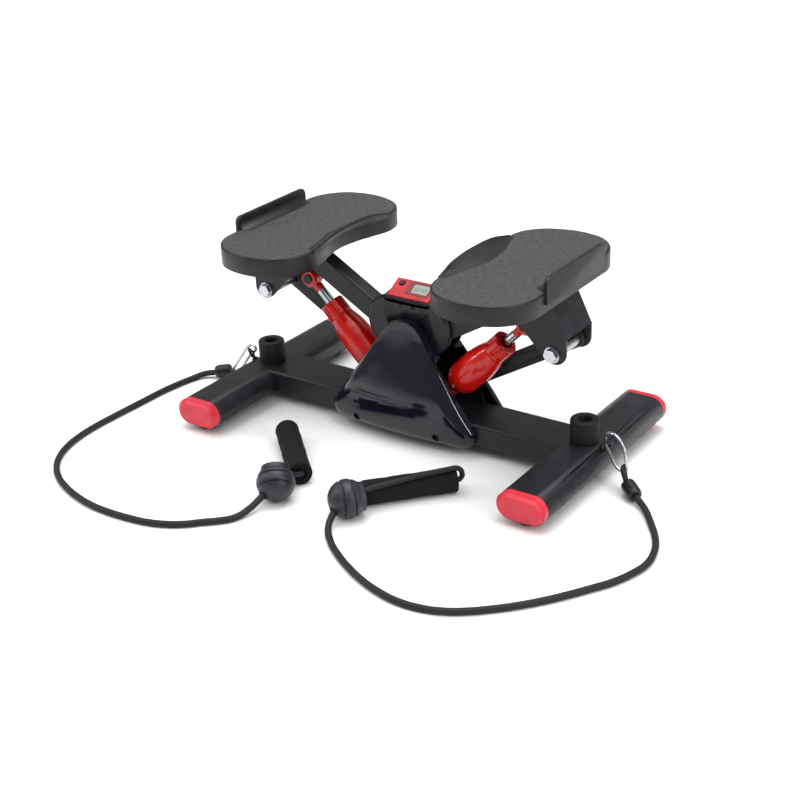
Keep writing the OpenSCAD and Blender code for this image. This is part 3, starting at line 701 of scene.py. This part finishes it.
# Middle, turn and tilt of each ball, and where its cord goes in
BALLS = {"right": ((55, -230, 23), 49.0, 0.0, (51, -250, 15)),
         "left": ((-40, -242, 23), 128.0, 38.0, (-43, -263, 15))}
GRIPS = {"right": ((55, -199), (130, -116)), "left": ((-37, -200), (-124, -116))}
GRIP_Z = 15.2
STRAP_R, CLIP_R, EYE_R = 3.2, 1.9, 3.0
STRAPS = {
    "right": [(58, -217, 24), (58.5, -207, 19.5), (63, -196, 16), (82, -175, 15.2),
              (98, -157, 15.2), (114, -140, 15.2), (129, -123, 15.2), (136.5, -114.5, 18.5),
              (137, -114, 26), (134.5, -118.5, 32), (126.5, -129, 33), (112, -148, 32.5),
              (97, -167, 31), (83, -186.5, 29.5), (68.5, -204.5, 27.5), (62, -219, 26)],
    "left": [(-40, -228, 26), (-36.5, -212, 20), (-37, -195, 15.2), (-56, -176.5, 15.2),
             (-75, -158.5, 15.2), (-94, -140, 15.2), (-113, -121.5, 15.2), (-122, -113, 15.2),
             (-127.5, -108.5, 15.4), (-132, -110, 15.6), (-131.5, -114.5, 15.4),
             (-127, -118, 15.2), (-118, -126.5, 15.2), (-99, -145, 15.2), (-80, -163.5, 15.2),
             (-61, -182, 15.2), (-42, -200, 15.2), (-44, -213, 20), (-44, -227, 26)]}
CLIPS = {
    "right": [(268, -5.5, 54), (270.5, -6.3, 46), (276, -8, 37.5), (282, -10, 29.5),
              (289, -12.2, 24), (296, -14.5, 23.5), (301.5, -16.4, 29), (301, -16.3, 38.5),
              (298.5, -15.3, 49.5), (294, -13.8, 58), (286, -11.2, 64.5), (277, -8.2, 65.5),
              (270, -6, 61)],
    "left": [(-263.5, -4, 54), (-270, -6, 46.5), (-277, -8.5, 37), (-283, -10.5, 27),
             (-289, -12, 17.5), (-295, -12.4, 11.5), (-301, -11, 10.5), (-303, -8.5, 16),
             (-298, -5.5, 26), (-291, -4, 36.5), (-284, -3, 47), (-276, -2.6, 55),
             (-268.5, -3, 58)]}
EYES = {
    "right": [(307, -25, 12.5), (304, -23.5, 20), (299, -19.5, 28), (297, -13, 29.5),
              (296.5, -9.5, 24), (297, -10.5, 18.5), (301, -16, 14.5), (305, -22.5, 10)],
    "left": [(-313, -6.6, 13.9), (-307, -10, 14), (-300.3, -13.6, 14), (-298, -10.7, 14),
             (-298.5, -7.9, 12.2), (-299.6, -7, 9), (-301.7, -8.4, 7), (-307, -6.5, 8.5),
             (-313, -6.2, 9.9)]}


def add_handles():
    balls = {}
    grommets, grips = [], []
    for side in ("right", "left"):
        centre, turn, tilt, entry = BALLS[side]
        flat = math.cos(math.radians(tilt))
        axis = Vector((flat * math.cos(math.radians(turn)), flat * math.sin(math.radians(turn)),
                       math.sin(math.radians(tilt))))
        balls[side] = build(side + "_handle_ball", *turned(BALL_BANDS, centre, axis, 64),
                            [ball_grey], "frame", slot="ball_grey")
        out = (Vector(entry) - Vector(centre)).normalized()
        grommets.append(turned([(4.1, 20.0), (6.2, 20.0), (6.4, 22.0), (5.9, 23.2), (4.9, 23.4),
                                (4.1, 22.6)], centre, out, 32))
        (x0, y0), (x1, y1) = GRIPS[side]
        along = Vector((x1 - x0, y1 - y0, 0))
        length = along.length
        profile = [(9.0, 0.0), (9.6, -0.02), (13.6, 0.0), (14.5, 0.4), (14.95, 1.5)]
        for k in range(1, 24):
            s = k / 24
            wave = 0.22 * math.sin(19.0 * s) + 0.12 * math.sin(41.0 * s + 1.0)
            profile.append((14.75 + wave, 1.5 + (length - 3.0) * s))
        profile += [(14.9, length - 1.5), (14.5, length - 0.4), (13.6, length), (9.6, length),
                    (9.0, length), (9.0, 0.0)]
        grips.append(turned(profile, (x0, y0, GRIP_Z), along, 64))
    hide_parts("handle_balls")
    build("handle_grommets", *merge(grommets), [rubber], "frame", slot="black_rubber")
    build("handle_grips", *merge(grips), [foam], "frame", node="foam_grips", slot="foam_black")
    return balls


def add_straps_and_clips():
    for side in ("right", "left"):
        strap = tube(side + "_handle_strap", STRAPS[side], STRAP_R, cord_cloth)
        clip = tube(side + "_carabiner", CLIPS[side], CLIP_R, chrome, closed=True)
        eye = tube(side + "_cord_eye", EYES[side], EYE_R, cord_cloth, closed=True)
        for label, obj, slot in (("handle_loops", strap, "cord_black"),
                                 ("carabiners", clip, "chrome"), ("cord_eyes", eye, "cord_black")):
            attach(obj, "frame")
            if side == "right":
                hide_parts(label)


# ---------------------------------------------------------------- console details

SLOPE = Matrix.Translation((0.0, -16.0, 183.0)) @ Matrix.Rotation(math.radians(27.85), 4, "X")


def on_slope(part):
    verts, faces = part
    return [SLOPE @ Vector(v) for v in verts], faces


def frame_plate(outer, inner, low, high, chamfer=0.4):
    """A rectangular ring between (x0, y0, x1, y1) boxes, with a chamfered top edge."""
    def corners(b, d, z):
        x0, y0, x1, y1 = b
        return [(x0 + d, y0 + d, z), (x1 - d, y0 + d, z), (x1 - d, y1 - d, z), (x0 + d, y1 - d, z)]
    rings = [corners(outer, 0, low), corners(outer, 0, high - chamfer),
             corners(outer, chamfer, high), corners(inner, -chamfer, high),
             corners(inner, 0, high - chamfer), corners(inner, 0, low)]
    return loft(rings, caps=False, closed=True)


# The seven bars of one digit, as (x0, y0, x1, y1)
SEGMENTS = [(0.3, 0.0, 2.5, 0.45), (0.3, 2.5, 2.5, 2.95), (0.3, 5.0, 2.5, 5.45),
            (0.0, 0.4, 0.4, 2.5), (2.4, 0.4, 2.8, 2.5), (0.0, 2.9, 0.4, 5.1), (2.4, 2.9, 2.8, 5.1)]


def add_console_details():
    bezel = frame_plate((-9.5, 6.5, 25.5, 27.5), (-1.9, 10.1, 21.9, 24.9), 0.0, 0.45)
    build("display_bezel", *on_slope(bezel), [dark_red], "frame", slot="red_plastic", smooth=False)
    digits = []
    for x in (2.0, 6.2, 11.4, 15.6):
        for x0, y0, x1, y1 in SEGMENTS:
            digits.append(brick((x + x0, 14.5 + y0, -0.5), (x + x1, 14.5 + y1, -0.42)))
    build("display_segments", *on_slope(merge(digits)), [lcd_ink], "frame", slot="lcd",
          smooth=False)
    dots = [turned([(0.0, 0.0), (0.8, 0.0), (0.8, 0.25), (0.0, 0.3)], (x, y, 0.0), (0, 0, 1), 14)
            for x in (12.0, 15.0, 18.0, 21.0) for y in (2.6, 4.4)]
    build("console_dots", *on_slope(merge(dots)), [dark_red], "frame", slot="red_plastic")


# ---------------------------------------------------------------- rods and softened edges

BASE_PIVOT = Vector((48.0, 0.0, 65.0))
ROD_EYE = Vector((160.0, 0.0, 176.0))


def ring_band(outer, inner, half, centre, chamfer=0.6, count=56):
    """A flat ring about an axis along Y, with chamfered edges."""
    rings = []
    for radius, y in ((inner, -half), (outer - chamfer, -half), (outer, -half + chamfer),
                      (outer, half - chamfer), (outer - chamfer, half), (inner, half)):
        rings.append([(centre.x + x, y, centre.z + z) for x, z in circle(radius, count)])
    return loft(rings, caps=False, closed=True)


def add_rod(side, sign):
    along = (ROD_EYE - BASE_PIVOT).normalized()
    body = side + "_rod"
    spot = tuple(BASE_PIVOT)
    steel = turned([(0.0, 49.0), (5.4, 49.0), (6.0, 49.6), (6.0, 52.0), (12.4, 52.0), (12.95, 52.5),
                    (12.95, 57.5), (12.4, 58.0), (6.0, 58.0), (6.0, 137.0), (0.0, 137.0)],
                   spot, along, 56)
    build(side + "_rod_steel", *flipped(steel, sign), [chrome], body, node=side + "_rod",
          slot="chrome")
    collar = turned([(0.0, 137.0), (5.7, 137.0), (6.0, 137.4), (6.0, 144.0), (5.4, 144.0),
                     (5.4, 150.0), (0.0, 150.0)], spot, along, 40)
    eye = ring_band(12.5, 8.6, 6.0, ROD_EYE)
    build(side + "_rod_eye", *flipped(merge([collar, eye]), sign), [red_paint], body,
          slot="red_paint")


def paint_rod_bolts():
    """The bolt through each eye is dark, with a red washer under its head."""
    washer_front, washer_back = -8.3 * MM, -6.3 * MM
    obj = nodes["rod_bolts"]
    obj.data.materials.append(red_paint)
    for face in obj.data.polygons:
        if washer_front < (obj.matrix_world @ face.center).y < washer_back:
            face.material_index = 1


def soften(name, width, segments=2, angle=35.0):
    """Rounds the sharp edges of a CAD node."""
    obj = nodes[name]
    weld = obj.modifiers.new("weld", "WELD")
    weld.merge_threshold = 0.00001
    bevel(obj, width, segments, angle)


# ---------------------------------------------------------------- floor

def add_floor():
    bpy.ops.mesh.primitive_plane_add(size=60.0, location=(0.0, 0.0, -0.0002))
    floor = bpy.context.object
    floor.name = "floor"
    floor.data.materials.append(material("pale_floor", (0.86, 0.86, 0.86), 0.75, spread=0.01,
                                         scale=3.0, bump=0.01, specular=0.2))


add_camera()
add_light()
add_floor()
paint_nodes()
balls = add_handles()
add_cord("right", RIGHT_ROUTE)
add_cord("left", LEFT_ROUTE)
for side, sign in (("right", 1), ("left", -1)):
    add_pedal(side, sign)
add_cover("front_cover", 1)
add_cover("rear_cover", -1)
add_hub_cover("hub_cover_front", 1)
add_hub_cover("hub_cover_rear", -1)
add_buffers()
add_straps_and_clips()
add_console_details()
for side, sign in (("right", 1), ("left", -1)):
    add_rod(side, sign)
paint_rod_bolts()
for name, width in (("console_housing", 0.8), ("left_carrier", 0.8), ("right_carrier", 0.8),
                    ("left_link", 0.6), ("right_link", 0.6), ("console_panel", 0.3),
                    ("foot_bar_left", 0.3), ("foot_bar_right", 0.3)):
    soften(name, width)
